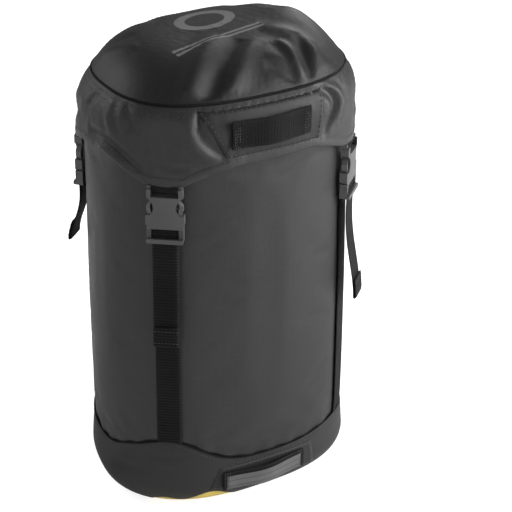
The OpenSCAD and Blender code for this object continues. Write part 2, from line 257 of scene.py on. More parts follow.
def settle(piece, pins, pressure, growth, cap):
    """Cloth simulation: the sheet grows and fills out between its pins, and no point moves beyond cap."""
    frames = 24
    rest = [v.co.copy() for v in piece.data.vertices]
    group = piece.vertex_groups.new(name="pins")
    for i, weight in enumerate(pins):
        if weight > 0.01:
            group.add([i], weight, "REPLACE")
    cloth = piece.modifiers.new("Cloth", "CLOTH")
    cloth.point_cache.frame_end = frames
    coated_nylon = {
        "quality": 5, "mass": 0.2,
        "tension_stiffness": 12, "compression_stiffness": 12, "shear_stiffness": 6, "bending_stiffness": 0.6,
        "use_pressure": True, "uniform_pressure_force": pressure,
        "shrink_min": -growth, "vertex_group_mass": "pins",
    }
    for key, value in coated_nylon.items():
        setattr(cloth.settings, key, value)
    cloth.settings.effector_weights.gravity = 0
    cloth.collision_settings.use_collision = False
    for step in range(1, frames + 1):
        bpy.context.scene.frame_set(step)
    apply_modifiers(piece)
    for vertex, start in zip(piece.data.vertices, rest):
        move = vertex.co - start
        if move.length > cap:
            move = move * (cap / move.length)
        vertex.co = start + move
    piece.vertex_groups.clear()
    return piece


def ring(centre, side, lift, radius, count):
    """Points round a circle that lies along two directions."""
    turns = [2 * math.pi * k / count for k in range(count)]
    return [centre + side * (radius * math.cos(turn)) + lift * (radius * math.sin(turn)) for turn in turns]


def half_turn(steps):
    """The angles of half a turn, with both ends."""
    return [math.pi * part for part in parts(steps)]


def surface(piece):
    """A tree for finding places on a piece."""
    return BVHTree.FromPolygons(
        [v.co.copy() for v in piece.data.vertices], [tuple(p.vertices) for p in piece.data.polygons]
    )


def find_surface(tree, point, outward):
    """The outermost place of the surface on the line through a point, or the point itself."""
    reach = 40 * MM
    hit = tree.ray_cast(point + outward * reach, -outward, 2 * reach)[0]
    return hit if hit else point


def place(piece, look, body=None, nodes=()):
    """Gives a piece its material, its body and the CAD nodes it stands for."""
    piece.data.materials.clear()
    piece.data.materials.append(look)
    if nodes:
        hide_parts(*nodes)
    if body:
        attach(piece, body)
    return piece


def resample(points, step):
    """Points at even steps along a line, and the way it runs at each."""
    lengths = [0.0]
    for a, b in zip(points, points[1:]):
        lengths.append(lengths[-1] + (b - a).length)
    count = max(2, int(lengths[-1] / step) + 1)
    result = []
    for i in range(count):
        target = lengths[-1] * i / (count - 1)
        k = min(bisect_right(lengths, target), len(points) - 1) - 1
        part = (target - lengths[k]) / max(1e-9, lengths[k + 1] - lengths[k])
        result.append((points[k].lerp(points[k + 1], part), (points[k + 1] - points[k]).normalized()))
    return result


def webbing(name, path, across, width=WEB_W, thickness=WEB_T, rib=0.08 * MM):
    """Woven webbing along a path, with rounded edges, raised ribs and closed ends."""
    steps = 5
    columns = 10
    thin = 0.35
    step = RIB_PITCH / steps
    side = across.normalized()
    rows = []
    for i, (point, way) in enumerate(resample(path, step)):
        lift = side.cross(way).normalized()
        ripple = rib * math.cos(2 * math.pi * i / steps)
        row = []
        for face in (1, -1):
            for c in range(columns + 1):
                u = (2 * c / columns - 1) * face
                edge = (1 - abs(u) ** 6) ** 0.5
                height = face * (thickness / 2 * (thin + (1 - thin) * edge) + ripple * edge)
                row.append(point + side * (u * (width / 2 - 0.1 * MM * (1 - edge))) + lift * height)
        rows.append(row)
    count = len(rows[0])

    def uv(r, c):
        turn = c % count
        u = turn if turn <= columns else 2 * columns + 1 - turn
        return (u / columns * width, r * step)

    return seal(skin(name, rows, True, uv))


def stitches(name, lines, length=2.1 * MM, gap=1.3 * MM, radius=0.26 * MM):
    """Rows of sewn stitches, each a small closed capsule. A line is a list of (point, outward) pairs."""
    vertices, faces = [], []
    stations, sides = (-1.0, -0.62, 0.0, 0.62, 1.0), 6
    for line in lines:
        spots = resample([p for p, _ in line], length + gap)
        for i, (point, way) in enumerate(spots):
            out = line[min(len(line) - 1, round(i * (len(line) - 1) / max(1, len(spots) - 1)))][1]
            side = way.cross(out).normalized()
            start = len(vertices)
            for station in stations:
                round_off = 1 - station * station
                centre = point + way * (station * length / 2) + out * (radius * 0.35 * round_off)
                vertices += ring(centre, side, out, radius * math.sqrt(max(0.04, round_off)), sides)
            for r in range(len(stations) - 1):
                for k in range(sides):
                    a, b = start + r * sides + k, start + r * sides + (k + 1) % sides
                    faces.append((a, b, b + sides, a + sides))
            faces.append(tuple(start + k for k in reversed(range(sides))))
            faces.append(tuple(start + (len(stations) - 1) * sides + k for k in range(sides)))
    return new_object(name, vertices, faces)


def cord(name, path, radius, wobble):
    """A round cord in a closed loop through a list of points, whose girth varies by a share."""
    rows = []
    sides = 10
    for i, point in enumerate(path):
        way = (path[(i + 1) % len(path)] - path[i - 1]).normalized()
        side = way.cross(UP).normalized()
        lift = side.cross(way).normalized()
        girth = radius * (1 + wobble * noise.noise(point * 160))
        rows.append(ring(point, side, lift, girth, sides))
    rows.append(rows[0])
    piece = skin(name, rows, True, even(2 * math.pi * radius / sides, 2 * MM))
    return seal(piece, 0.01 * MM)


# ---------- Looks ----------

class Graph:
    """The node tree of a material or world, with one call per node. An input given as a socket is linked."""

    def __init__(self, owner):
        self.owner = owner
        owner.use_nodes = True
        self.tree = owner.node_tree
        self.tree.nodes.clear()

    def add(self, kind, inputs=None, **settings):
        node = self.tree.nodes.new("ShaderNode" + kind)
        for key, value in settings.items():
            setattr(node, key, value)
        for key, value in (inputs or {}).items():
            if isinstance(value, bpy.types.NodeSocket):
                self.tree.links.new(value, node.inputs[key])
            else:
                node.inputs[key].default_value = value
        return node

    def math(self, operation, a, b=0.0):
        return self.add("Math", {0: a, 1: b}, operation=operation).outputs[0]

    def chain(self, operation, values):
        result = values[0]
        for value in values[1:]:
            result = self.math(operation, result, value)
        return result

    def product(self, *values):
        return self.chain("MULTIPLY", values)

    def total(self, *values):
        return self.chain("ADD", values)

    def scaled(self, value, low, high, new_low=0.0, new_high=1.0):
        inputs = {"Value": value, "From Min": low, "From Max": high, "To Min": new_low, "To Max": new_high}
        return self.add("MapRange", inputs).outputs[0]

    def weave(self):
        """The two directions of the weave, in metres."""
        split = self.add("SeparateXYZ", {0: self.add("UVMap", uv_map="weave").outputs[0]})
        return split.outputs[0], split.outputs[1]

    def place(self):
        return self.add("TexCoord").outputs["Object"]

    def noise(self, scale, detail=3.0):
        inputs = {"Vector": self.place(), "Scale": scale, "Detail": detail}
        return self.add("TexNoise", inputs).outputs["Fac"]

    def wave(self, value, pitch):
        """A sine of the value, from -1 to 1, that repeats at a pitch."""
        return self.math("SINE", self.product(value, 2 * math.pi / pitch))

    def line(self, value, pitch, sharpness):
        """Thin lines at a pitch, from 0 between them to 1 on them."""
        turn = self.math("COSINE", self.product(value, math.pi / pitch))
        return self.math("POWER", self.math("ABSOLUTE", turn), sharpness)

    def shade(self, colour, factor):
        """A colour made lighter or darker by a factor socket."""
        return self.add("VectorMath", {0: colour, "Scale": factor}, operation="SCALE").outputs[0]

    def grey(self, level, factor):
        return self.shade((level,) * 3, factor)

    def edges(self, amount):
        """A factor that rises from 1 where the surface stands proud: a painted highlight on edges and fold
        ridges.
        """
        proud = self.add("NewGeometry").outputs["Pointiness"]
        return self.scaled(proud, 0.5, 0.56, 1.0, 1.0 + amount)

    def finish(self, colour, roughness, height, distance, sheen=0.0, specular=0.5):
        bump = self.add("Bump", {"Height": height, "Distance": distance, "Strength": 0.8})
        inputs = {"Base Color": colour, "Roughness": roughness, "Normal": bump.outputs[0]}
        inputs.update({"Sheen Weight": sheen, "Specular IOR Level": specular})
        shader = self.add("BsdfPrincipled", inputs)
        self.add("OutputMaterial", {0: shader.outputs[0]})
        return self.owner


def material_graph(name):
    return Graph(bpy.data.materials.new(name))


def coated_fabric(name, grey, roughness, grid=5 * MM, grid_depth=0.5, tint=(1, 1, 1), print_mask=None):
    """Coated nylon: a fine weave, a rip-stop grid, soft changes of tone and a satin face with a painted
    highlight on the ridges of its folds.
    """
    g = material_graph(name)
    u, v = g.weave()
    threads = g.product(g.wave(u, 0.55 * MM), g.wave(v, 0.55 * MM))
    ripstop = g.math("MAXIMUM", g.line(u, grid, 180), g.line(v, grid, 180))
    cloud = g.noise(14)
    fine = g.noise(260, 4)
    tone = g.scaled(cloud, 0.3, 0.7, 0.9, 1.1)
    grain = g.scaled(fine, 0.3, 0.7, 0.95, 1.05)
    rip_tone = g.scaled(ripstop, 0, 1, 1.0, 1 + 0.16 * grid_depth)
    # g.edges paints a highlight on the proud ridges of the folds
    factor = g.product(tone, grain, rip_tone, g.edges(0.35))
    colour = g.shade((grey * tint[0], grey * tint[1], grey * tint[2]), factor)
    if print_mask:
        inked = g.grey(PRINT_GREY, g.product(tone, grain))
        colour = g.add("Mix", {0: print_mask(g), 6: colour, 7: inked}, data_type="RGBA").outputs[2]
    height = g.total(g.product(threads, 0.25), g.product(ripstop, grid_depth), g.product(fine, 0.5))
    rough = g.scaled(cloud, 0.3, 0.7, roughness - 0.05, roughness + 0.06)
    return g.finish(colour, rough, height, 0.09 * MM, sheen=0.03, specular=0.45)


def ribbed_webbing(name, grey, rib=RIB_PITCH, lane=2.4 * MM, painted_rib_light=0.3, slant=0.0):
    """Flat nylon webbing: ribs across its width, straight or slanting from lane to lane, and dull, with a
    painted highlight on the rib crests, painted shade in the troughs and in the grooves between lanes, and a
    painted highlight on proud edges.
    """
    g = material_graph(name)
    u, v = g.weave()
    slanted = g.total(v, g.product(g.math("PINGPONG", u, lane), slant))
    ribs = g.math("COSINE", g.product(slanted, 2 * math.pi / rib))
    gaps = g.line(u, lane / 2, 24)
    fuzz = g.noise(900, 2)
    # Rib crests painted lighter and troughs darker: painted highlight and painted shade
    tone = g.scaled(ribs, -1, 1, 1 - painted_rib_light, 1 + 1.6 * painted_rib_light)
    wear = g.scaled(g.noise(35), 0.35, 0.7, 0.85, 1.2)
    # The grooves between lanes are painted darker as painted shade, and g.edges paints a highlight on proud
    # edges
    factor = g.product(tone, wear, g.scaled(gaps, 0, 1, 1.0, 0.55), g.edges(0.5))
    colour = g.grey(grey, factor)
    height = g.total(g.math("SUBTRACT", g.product(ribs, 0.5), g.product(gaps, 0.6)), g.product(fuzz, 0.5))
    return g.finish(colour, 0.66, height, 0.22 * MM, sheen=0.01, specular=0.16)


def moulded_plastic(name, grey, roughness=0.36):
    """Moulded acetal: a faint spark-eroded grain, flow marks and a painted highlight that lightens its proud
    edges.
    """
    g = material_graph(name)
    grain = g.noise(2600, 2)
    flow = g.noise(45)
    # g.edges paints a highlight on the proud edges
    factor = g.product(g.scaled(flow, 0.3, 0.7, 0.93, 1.07), g.edges(0.6))
    colour = g.grey(grey, factor)
    rough = g.scaled(flow, 0.3, 0.7, roughness - 0.04, roughness + 0.07)
    return g.finish(colour, rough, grain, 0.03 * MM, specular=0.55)


def thread(name, grey):
    """Sewing thread: twisted plies with a slight gloss."""
    g = material_graph(name)
    twist = g.noise(1800, 2)
    colour = g.grey(grey, g.scaled(twist, 0.3, 0.7, 0.75, 1.25))
    return g.finish(colour, 0.5, twist, 0.08 * MM, sheen=0.2)


def band(g, value, centre, half):
    """A mask of 1 where a value lies within a half width of a centre."""
    gap = g.math("ABSOLUTE", g.math("SUBTRACT", value, centre))
    return g.scaled(gap, half, half + 0.3 * MM, 1.0, 0.0)


def woven_label(name, grey):
    """A woven label: a tight satin weave with two thin darker stripes along it."""
    g = material_graph(name)
    u, v = g.weave()
    threads = g.product(g.wave(u, 0.4 * MM), g.wave(v, 0.7 * MM))
    tone = g.scaled(g.noise(60), 0.3, 0.7, 0.92, 1.08)
    stripes = g.math("MAXIMUM", band(g, v, 3 * MM, 0.25 * MM), band(g, v, 8 * MM, 0.25 * MM))
    factor = g.product(tone, g.scaled(threads, -1, 1, 0.93, 1.07), g.scaled(stripes, 0, 1, 1, 0.45))
    return g.finish(g.grey(grey, factor), 0.55, threads, 0.05 * MM, sheen=0.15)


# The middle of the ring printed on the crown, the print's turn and its grey
PRINT_X = 1 * MM
PRINT_Y = 18 * MM
PRINT_TURN = math.radians(11)
PRINT_GREY = 0.2


def lid_print(g):
    """The mask of a plain generic print: a worn oval ring above a thin double line."""
    split = g.add("SeparateXYZ", {0: g.place()})
    right = g.math("SUBTRACT", split.outputs[0], PRINT_X)
    back = g.math("SUBTRACT", split.outputs[1], PRINT_Y)
    turned, straight = math.sin(PRINT_TURN), math.cos(PRINT_TURN)
    x = g.total(g.product(right, straight), g.product(back, turned))
    y = g.math("SUBTRACT", g.product(back, straight), g.product(right, turned))
    wide = g.math("DIVIDE", x, 1.4)
    radius = g.math("SQRT", g.total(g.product(wide, wide), g.product(y, y)))
    oval_ring = band(g, radius, 14 * MM, 2.8 * MM)
    lines = g.math("MAXIMUM", band(g, y, -30 * MM, 1.1 * MM), band(g, y, -34.5 * MM, 1.1 * MM))
    lines = g.product(lines, band(g, x, -14 * MM, 38 * MM))
    wear = g.scaled(g.noise(420, 4), 0.3, 0.42, 0.55, 0.95)
    return g.product(g.math("MAXIMUM", oval_ring, lines), wear)


looks = {
    "body": coated_fabric("body fabric", 0.026, 0.42),
    "skirt": coated_fabric("lid skirt fabric", 0.029, 0.44),
    "crown": coated_fabric("lid crown fabric", 0.013, 0.48, print_mask=lid_print),
    "cup": coated_fabric("base cup fabric", 0.02, 0.5, grid=7 * MM, grid_depth=0.3),
    "patch": coated_fabric("patch fabric", 0.018, 0.52, grid=3 * MM, grid_depth=0.25),
    "under": coated_fabric("base panel fabric", 1.0, 0.55, tint=(0.72, 0.55, 0.13)),
    "roll": coated_fabric("roll fabric", 0.022, 0.5),
    # The webbing looks paint a highlight on their rib crests and shade in their troughs and grooves
    "web": ribbed_webbing("strap webbing", 0.008),
    "handle": ribbed_webbing("handle webbing", 0.006, rib=1.9 * MM, lane=3.2 * MM, painted_rib_light=0.6, slant=0.8),
    "piping": ribbed_webbing("piping binding", 0.005, rib=0.8 * MM, lane=1.2 * MM),
    "plastic": moulded_plastic("buckle plastic", 0.06),
    "inner_plastic": moulded_plastic("latch arm plastic", 0.075, 0.32),
    "stiff": moulded_plastic("stiffener strip", 0.02, 0.45),
    "thread": thread("dark thread", 0.03),
    "pale_thread": thread("grey thread", 0.06),
    "label": woven_label("woven label", 0.13),
    "tape": moulded_plastic("seam tape", 0.3, 0.3),
}


# ---------- Body fabric and base ----------

BODY_TOP = NECK_Z - 8 * MM
SHARES = parts(COLUMNS)[:-1]
COLUMN_STEP = oval.length / COLUMNS
# How far each strap draws the base seam up
SEAM_LIFT = {"front_left": 23 * MM, "front_right": 6 * MM, "back_left": 12 * MM, "back_right": 9 * MM}


def around_front(share):
    """The distance around the sack from the middle of its front, to the right."""
    return (share - FRONT) * oval.length


def seam_z(share):
    """The height of the base seam, which each strap draws up by its own pull."""
    lifts = [SEAM_LIFT[s.name] * bell(oval.arc(share, s.share), 33 * MM) for s in straps]
    return CUP_LEVEL + sum(lifts) + 4.5 * MM * bell(around_front(share) + 108 * MM, 18 * MM)


RIGHT_SIDE = oval.share_near(84 * MM, -39 * MM)


def swell(share):
    """How much fuller the sack's foot is at its right than the plain oval."""
    return 3 * MM * bell(oval.arc(share, RIGHT_SIDE), 45 * MM)


def body_out(share, z):
    """How far the body fabric stands off the oval."""
    rise = z - seam_z(share)
    part = min(1, max(0, rise / (BODY_TOP - BASE_SEAM_Z)))
    around = share * oval.length
    soft = noise.noise(Vector((around * 11, z * 7, 3.1)))
    crease = noise.noise(Vector((around * 52, z * 5, 6.2)))
    pucker = math.sin(around / (17 * MM) * 2 * math.pi + 3 * noise.noise(Vector((around * 14, 0, 8))))
    belly = 0.9 * MM * math.sin(math.pi * part) + swell(share) * (1 - ease(part))
    drawn_in = 1.0 * MM * near_strap(share, 13 * MM) + 0.6 * MM * math.exp(-rise / (5 * MM))
    puckered = 0.45 * MM * pucker * math.exp(-rise / (13 * MM))
    return belly - drawn_in + puckered + 0.9 * MM * soft + 0.3 * MM * crease


def body_fabric():
    """The tube from the base seam to the gathered neck under the lid."""
    rows = []
    for part in parts(96):
        heights = [seam_z(share) + (BODY_TOP - seam_z(share)) * part for share in SHARES]
        rows.append([oval.at(share, body_out(share, z), z) for share, z in zip(SHARES, heights)])
    piece = skin("body_fabric", rows, True, lambda r, c: (c * COLUMN_STEP, rows[r][c % COLUMNS].z))
    pins = []
    for row in rows:
        for share, point in zip(SHARES, row):
            ends = max(bell(point.z - seam_z(share), 6 * MM), bell(point.z - BODY_TOP, 12 * MM))
            pins.append(max(ends, 0.9 * near_strap(share, 12 * MM)))
    settle(piece, pins, 0.8, 0.001, 1.2 * MM)
    return piece


body = body_fabric()
body_tree = surface(body)
thicken(body, FABRIC_T, -1)
place(body, looks["body"], nodes=("body_tube_lower", "body_tube_upper"))
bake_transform(body)


def neck_fabric():
    """The top of the tube, gathered in pleats to the foot of the roll."""
    inner = ROLL_HIGH.x - 9 * MM
    pleats = 22
    rows = []
    for part in parts(16):
        row = []
        for share in SHARES:
            edge = oval.at(share, -0.6 * MM)
            point = edge.lerp(edge.normalized() * inner, part)
            pleat = math.sin(share * 2 * math.pi * pleats + 2 * noise.noise(point * 30))
            height = BODY_TOP - 4 * MM + (ROLL_LOW.z - BODY_TOP + 5 * MM) * ease(part * 1.1)
            row.append(point + UP * (height + 1.6 * MM * pleat * math.sin(math.pi * min(1, part * 1.05))))
        rows.append(row)
    return skin("neck_fabric", rows, True, even(COLUMN_STEP, 3 * MM))


place(thicken(neck_fabric(), FABRIC_T, -1), looks["body"], "closure")


def soften(path, times=3):
    """A path with its corners cut away."""
    for _ in range(times):
        cut = [path[0]]
        for a, b in zip(path, path[1:]):
            cut += [a.lerp(b, 0.25), a.lerp(b, 0.75)]
        path = cut + [path[-1]]
    return path


def fold_depth(point, crease):
    """The height a fold adds at a point. It is strongest at its start and fades towards its end."""
    path, width, depth = crease
    best = 1.0
    along = 0.0
    total = len(path) - 1
    for i in range(total):
        run = path[i + 1] - path[i]
        t = min(1, max(0, (point - path[i]).dot(run) / run.length_squared))
        gap = (point - path[i] - run * t).length
        if gap < best:
            best = gap
            along = (i + t) / total
    if best > 4 * width:
        return 0.0
    # A shallow dip runs along each side of the fold
    strength = min(1, 4 * (1 - along)) * min(1, 0.55 + 3 * along)
    return depth * strength * (bell(best, width) - 0.3 * bell(best - 2 * width, width))


def fold(width, depth, *points):
    """A fold, in millimetres, along a path of points."""
    return soften([Vector((a * MM, b * MM)) for a, b in points]), width * MM, depth * MM


# The base cup's creases: width, depth and a path of (distance around from the front's middle, height)
CUP_FOLDS = [
    fold(1.6, -1.1, (-86, 49), (-78, 46), (-68, 46), (-60, 48)),
    fold(3.0, 0.8, (-92, 44), (-80, 41), (-66, 41)),
    fold(2.4, -0.7, (-118, 30), (-100, 34), (-84, 32)),
    fold(1.3, -0.9, (60, 35), (46, 34), (32, 32)),
    fold(2.0, -0.8, (104, 34), (92, 28), (84, 18)),
    fold(3.0, -0.8, (-180, 34), (-196, 26), (-204, 16)),
    fold(3.0, -0.8, (196, 30), (212, 26), (226, 28)),
]
LEFT_CORNER = oval.share_near(-HALF_W, -16 * MM)
# The radius of the cup's rounded edge, and the part of its profile that is wall
BASE_ROUND = 20 * MM
WALL_PART = 0.45


def cup_profile(part, share):
    """A place on the base cup, from 0 at its seam, down its wall and round its edge to 1."""
    seam = seam_z(share)
    around = share * oval.length
    soft = 0.7 * MM * noise.noise(Vector((around * 13, part * 3, 5.5))) + swell(share)
    full = 6 * MM * bell(oval.arc(share, LEFT_CORNER), 30 * MM)
    down = part / WALL_PART
    z = seam - (seam - BASE_ROUND) * down
    if part < 0.7:
        soft += sum(fold_depth(Vector((around_front(share), z)), each) for each in CUP_FOLDS)
    if down < 1:
        out = 0.3 * MM + (1.6 * MM + full * down) * math.sin(math.pi / 2 * down) + soft * down
        return oval.at(share, out + swell(share) * (1 - down), z)
    turn = (part - WALL_PART) / (1 - WALL_PART) * math.pi / 2
    inward = (BASE_ROUND + soft) * math.cos(turn) - BASE_ROUND
    out = 1.9 * MM + inward + full * (1 - 0.5 * math.sin(turn))
    return oval.at(share, out, BASE_ROUND - BASE_ROUND * math.sin(turn) * 0.985)


# Where the cup's lower hem rides up and shows the panel under it: the place, how far, and over what width
PEEKS = [
    (oval.share_near(-43 * MM, -HALF_D), 0.4, 24 * MM),
    (oval.share_near(-73 * MM, -50 * MM), 0.28, 15 * MM),
]


def cup_end(share):
    """Where the cup's lower hem lies."""
    return 0.93 - sum(rise * bell(oval.arc(share, spot), width) for spot, rise, width in PEEKS)


def base_cup():
    """The cup's cloth, from its hem up to its seam."""
    rows = [[cup_profile(down * cup_end(share), share) for share in SHARES] for down in reversed(parts(34))]
    return skin("base_cup_fabric", rows, True, even(COLUMN_STEP, 1.6 * MM))


cup = base_cup()
cup_tree = surface(cup)
place(thicken(cup, 1.1 * MM, -1), looks["cup"], "bag", ("base_cup",))


def base_panel():
    """The yellow panel: a shallow dish that fills the cup's mouth and laps up behind its hem."""
    lap_rows = 5
    rows = []
    for r in range(13):
        row = []
        for share in SHARES:
            if r < lap_rows:
                point = cup_profile(0.5 + 0.5 * r / (lap_rows - 1), share)
                lapped = 0.7 * MM * (1 - r / 8)
                point = point - oval.normal(point) * lapped + UP * lapped
            else:
                edge = cup_profile(1.0, share)
                shrink = 1 - (r - lap_rows + 1) / 8.4
                point = Vector((edge.x * shrink, edge.y * shrink, edge.z + 0.25 * MM * (1 - shrink)))
            row.append(point)
        rows.append(row)
    rows.reverse()
    return skin("base_panel_fabric", rows, True, lambda r, c: rows[r][c % COLUMNS].xy)


panel = thicken(base_panel(), 0.5 * MM, -1)
place(panel, looks["under"], "bag", ("base_panel",))


def around_seam(z_of, out_of):
    """A closed line of points round the sack, at a height and a way out that depend on the share."""
    return [oval.at(share, out_of(share), z_of(share)) for share in parts(220)[:-1]]


base_cord = cord("base_seam_piping", around_seam(seam_z, lambda s: 0.1 * MM + swell(s)), 0.65 * MM, 0.12)
place(base_cord, looks["piping"], "bag", ("base_piping",))


def surface_line(tree, starts, lift=0.1 * MM):
    """The places of a surface next to given points, with the way out at each."""
    outs = [oval.normal(start) for start in starts]
    return [(find_surface(tree, start, out) + out * lift, out) for start, out in zip(starts, outs)]


ALL_ROUND = parts(240)
# The tapes stand this far inside the body's outer face
TAPE_INSET = 2.4 * MM


def base_tape():
    """Tape welded over the base seam, inside the sack."""
    rows = []
    for up in (3, 7, 11, 15, 19):
        heights = [seam_z(share) + up * MM for share in SHARES]
        rows.append([oval.at(share, body_out(share, z) - TAPE_INSET, z) for share, z in zip(SHARES, heights)])
    return skin("base_seam_tape_strip", rows, True, even(COLUMN_STEP, 4 * MM))


def back_tape():
    """Tape welded over the tube's own seam, up the inside of the back."""
    low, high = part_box("back_seam_tape")
    shares = [oval.share_near(x, HALF_D) for x in (low.x, low.x / 2, 0, high.x / 2, high.x)]
    heights = [low.z + (high.z - low.z) * part for part in parts(40)]
    rows = [[oval.at(share, body_out(share, z) - TAPE_INSET, z) for share in shares] for z in heights]
    return skin("back_seam_tape_strip", rows, False, even(5 * MM, 3 * MM))


for tape, node in ((base_tape(), "base_seam_tape"), (back_tape(), "back_seam_tape")):
    place(thicken(tape, 0.3 * MM), looks["tape"], "bag", (node,))

cup_row = surface_line(cup_tree, [oval.at(share, 0, seam_z(share) - 3.2 * MM) for share in ALL_ROUND])
place(stitches("base_seam_stitches", [cup_row]), looks["thread"], "bag")


# ---------- Lid ----------

LID_SHARES = parts(LID_COLUMNS)[:-1]
LID_STEP = oval.length / LID_COLUMNS
# How strongly the lid's cloth keeps its modelled place away from its seams
LOOSE_PIN = 0.4


def edge_drop(share):
    """How far the skirt's lower edge drops on its way to a strap's tab. It rides up a little at the left."""
    reach = max(0, min(oval.arc(share, s.share) for s in straps) - TAB_FLAT)
    pointed = max(0, 1 - reach / (TAB_HALF - TAB_FLAT)) ** 1.4
    return TAB_DROP * pointed - 4.5 * MM * bell(around_front(share) + 112 * MM, 20 * MM)


# The skirt's folds: width, depth and a path of (distance around from the front's middle, height)
SKIRT_FOLDS = [
    fold(5.2, 1.6, (-64, 320), (-61, 306), (-53, 294), (-42, 285), (-30, 281), (-20, 283)),
    fold(3.4, -1.5, (-51, 320), (-52, 308), (-49, 300), (-42, 293), (-33, 286)),
    fold(1.8, -1.5, (-51, 321), (-51, 314), (-50, 307)),
    fold(3.2, -2.8, (38, 320), (50, 312), (53, 303), (47, 294), (42, 283)),
    fold(3.0, 1.8, (46, 321), (58, 311), (60, 301), (54, 289)),
    fold(4.0, 1.8, (-122, 286), (-106, 282), (-93, 276), (-82, 270)),
    fold(3.0, -1.6, (-134, 291), (-113, 291), (-97, 283), (-82, 273)),
    fold(1.9, -1.3, (-80, 283), (-73, 281), (-64, 280), (-58, 279)),
    fold(2.2, 0.9, (-76, 278), (-68, 276), (-60, 276)),
    fold(3.0, -1.1, (-104, 319), (-99, 311), (-94, 303)),
    fold(3.0, -1.2, (-134, 322), (-138, 314), (-142, 304)),
    fold(3.2, 1.1, (-118, 320), (-116, 308), (-108, 296)),
    fold(5.0, -1.5, (100, 300), (88, 286), (80, 274)),
    fold(5.0, 1.6, (122, 308), (106, 290), (94, 276)),
    fold(5.0, -1.6, (150, 318), (146, 304), (132, 292)),
    fold(5.0, 1.8, (-215, 300), (-202, 284), (-194, 272)),
    fold(5.0, -1.8, (-160, 300), (-176, 288), (-188, 274)),
    fold(5.0, 1.8, (180, 302), (190, 288), (198, 274)),
    fold(5.0, -1.8, (236, 306), (220, 292), (206, 278)),
    fold(6.0, 1.6, (-262, 318), (-248, 302), (-250, 286)),
]
# The crown's folds: width, depth and a path of (x, y) from the rim inward
CROWN_FOLDS = [
    fold(7.5, 2.0, (-60, -66), (-54, -56), (-42, -44), (-26, -28), (-6, -12)),
    fold(6.0, -2.2, (-52, -68), (-47, -64), (-36, -56), (-18, -41), (4, -24)),
    fold(5.5, 1.4, (-34, -68), (-22, -61), (-10, -50), (2, -38), (16, -27)),
    fold(3.6, 1.8, (30, -70), (31, -58), (30, -44), (27, -32)),
    fold(4.2, -1.8, (27, -70), (24, -63), (16, -57), (6, -52)),
    fold(4.2, -1.8, (31, -69), (36, -57), (42, -41), (45, -28)),
    fold(6.5, 1.9, (52, -52), (46, -34), (38, -22), (24, -16)),
    fold(5.0, 1.0, (-78, 24), (-72, 10), (-60, 2)),
    fold(5.0, -0.8, (-73, 40), (-66, 26), (-52, 18)),
    fold(7.0, -0.8, (84, 30), (66, 26), (48, 14)),
    fold(7.0, -0.7, (-44, 64), (-34, 48), (-26, 34)),
    fold(7.0, -0.7, (56, 60), (44, 48), (30, 40)),
]


def skirt_folds(share, z):
    """The skirt's own folds, and soft waves that are stronger round the back."""
    along = around_front(share)
    own = sum(fold_depth(Vector((along, z)), each) for each in SKIRT_FOLDS)
    back = ease((abs(along) - 120 * MM) / (30 * MM))
    wave = noise.noise(oval.at(share) * 26 + UP * (z * 9))
    return own + 2 * MM * wave * (0.3 + 0.7 * back)


def skirt_point(share, part):
    """A place on the skirt, from 0 at the rim seam to 1 at the lower edge."""
    top = RIM_Z - 0.6 * MM
    low = LID_EDGE_Z - edge_drop(share)
    z = top + part * (low - top)
    drawn_in = (SKIRT_OUT + RIM_INSET) * (1 - min(1, part / 0.5)) ** 2.4
    tab = near_strap(share, 16 * MM)
    folds = ease(part / 0.18) * (1 - 0.6 * tab) * skirt_folds(share, z)
    lifted = 1.3 * MM * tab * ease((part - 0.4) / 0.4)
    return oval.at(share, SKIRT_OUT - drawn_in + folds + lifted, z) + RIM_LEAN * (1 - ease(part / 0.7))


def lid_skirt():
    """The skirt's cloth, from its lower edge up to the rim seam."""
    steps = 44
    row_step = 1.2 * MM
    rows = [[skirt_point(share, part) for share in LID_SHARES] for part in reversed(parts(steps))]
    piece = skin("lid_skirt_fabric", rows, True, even(LID_STEP, row_step))
    pins = []
    for r in range(steps + 1):
        for share in LID_SHARES:
            rim = bell((steps - r) * row_step, 2 * row_step)
            tab = near_strap(share, 11 * MM) * ease(1 - r / 14)
            pins.append(max(rim, tab, LOOSE_PIN))
    settle(piece, pins, 1.2, 0.014, 2.5 * MM)
    return piece


skirt = lid_skirt()
skirt_tree = surface(skirt)
thicken(skirt, FABRIC_T, -1)
place(skirt, looks["skirt"], "lid", ("lid_skirt",))


def skirt_height(share):
    return RIM_Z - (LID_EDGE_Z - edge_drop(share))


def skirt_line(part_of, lift=0.1 * MM):
    """Points all round the skirt at a share of its height, with the way out at each."""
    return surface_line(skirt_tree, [skirt_point(share, part_of(share)) for share in ALL_ROUND], lift)


def hem_band():
    """The doubled edge of the skirt, turned up inside and sewn, as a band that stands just proud."""
    # Each row: how far up the skirt, how far off its face and how far below its edge, in millimetres
    profile = ((0.0, -0.9, 0.5), (0.0, 0.1, 0.5), (0.8, 0.28, 0), (5.6, 0.24, 0), (6.2, -0.02, 0))
    rows = []
    for up, lift, drop in profile:
        starts = [skirt_point(share, 1 - up * MM / skirt_height(share)) for share in LID_SHARES]
        rows.append([spot - UP * (drop * MM) for spot, _ in surface_line(skirt_tree, starts, lift * MM)])
    return skin("lid_hem_band", rows, True, even(LID_STEP, 2 * MM))


place(thicken(hem_band(), 0.3 * MM, -1), looks["skirt"], "lid")


# The crown swells round this place, (x, y)
RIGHT_SWELL = Vector((65 * MM, 10 * MM))


